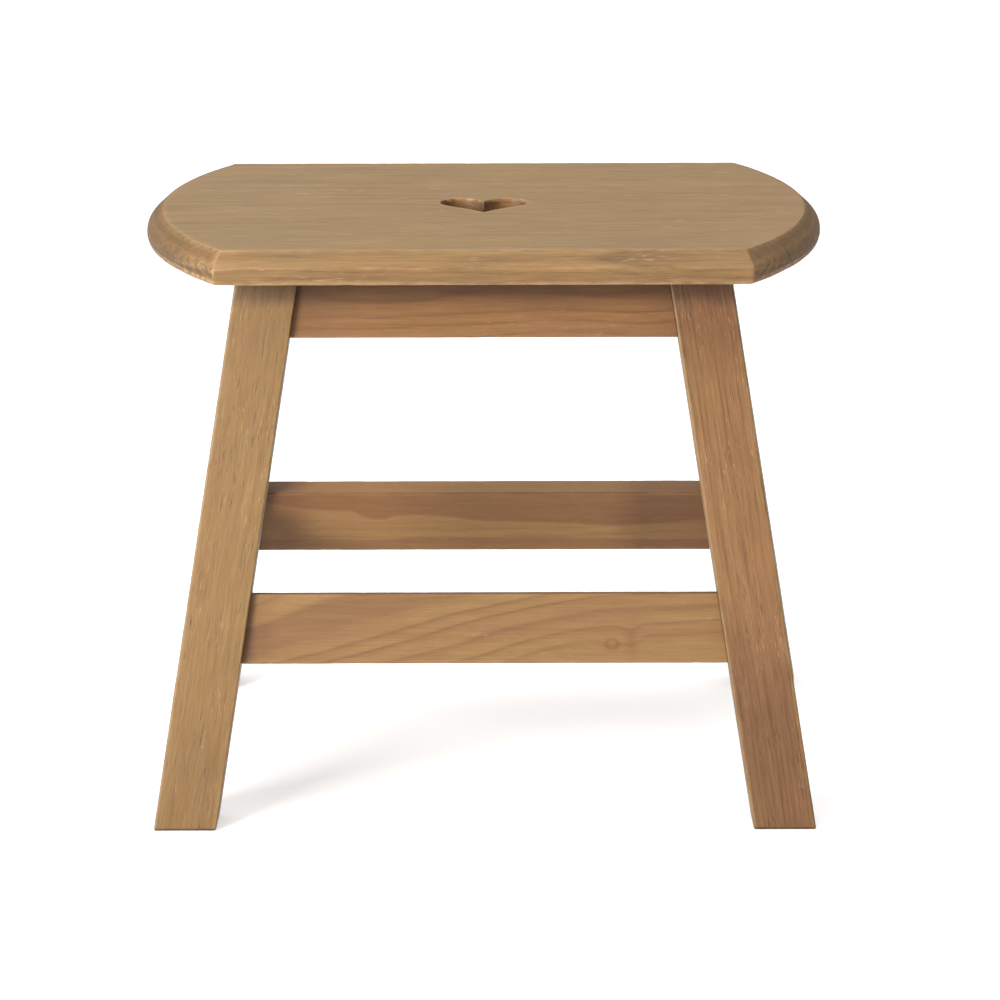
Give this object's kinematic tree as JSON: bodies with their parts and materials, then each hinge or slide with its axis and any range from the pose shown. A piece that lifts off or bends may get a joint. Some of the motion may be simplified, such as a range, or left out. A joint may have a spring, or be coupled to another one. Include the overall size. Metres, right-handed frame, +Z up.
{
  "type": "milking stool",
  "caption": "Low four-legged wooden stool with a bevelled seat board, bowed ends, heart-shaped hand-hold, splayed legs, aprons and stretchers.",
  "frame": {"origin": "on the floor, under the middle of the seat", "axes": "+X along the seat's length to the right, +Y to the rear, +Z up"},
  "size_m": [0.34, 0.254, 0.29],
  "materials": {
    "seat_wood": "waxed pine, long grain along the seat, slightly greyed top, satin",
    "leg_wood": "waxed pine, long grain down the leg, satin",
    "rail_wood": "waxed pine, long grain along the rail, satin",
    "cleat_wood": "plain planed pine, unwaxed, matt",
    "screw_steel": "yellow zinc-plated steel"
  },
  "bodies": {
    "root": {"seat_board": "seat_wood", "leg_front_left": "leg_wood", "leg_front_right": "leg_wood", "leg_rear_left": "leg_wood", "leg_rear_right": "leg_wood", "apron_front": "rail_wood", "apron_rear": "rail_wood", "apron_left": "rail_wood", "apron_right": "rail_wood", "stretcher_front": "rail_wood", "stretcher_rear": "rail_wood", "stretcher_left": "rail_wood", "stretcher_right": "rail_wood", "seat_cleat_front": "cleat_wood", "seat_cleat_rear": "cleat_wood", "seat_screw_front_1": "screw_steel", "seat_screw_front_2": "screw_steel", "seat_screw_front_3": "screw_steel", "cleat_screw_front_1": "screw_steel", "cleat_screw_front_2": "screw_steel", "seat_screw_rear_1": "screw_steel", "seat_screw_rear_2": "screw_steel", "seat_screw_rear_3": "screw_steel", "cleat_screw_rear_1": "screw_steel", "cleat_screw_rear_2": "screw_steel"}
  },
  "joints": []
}
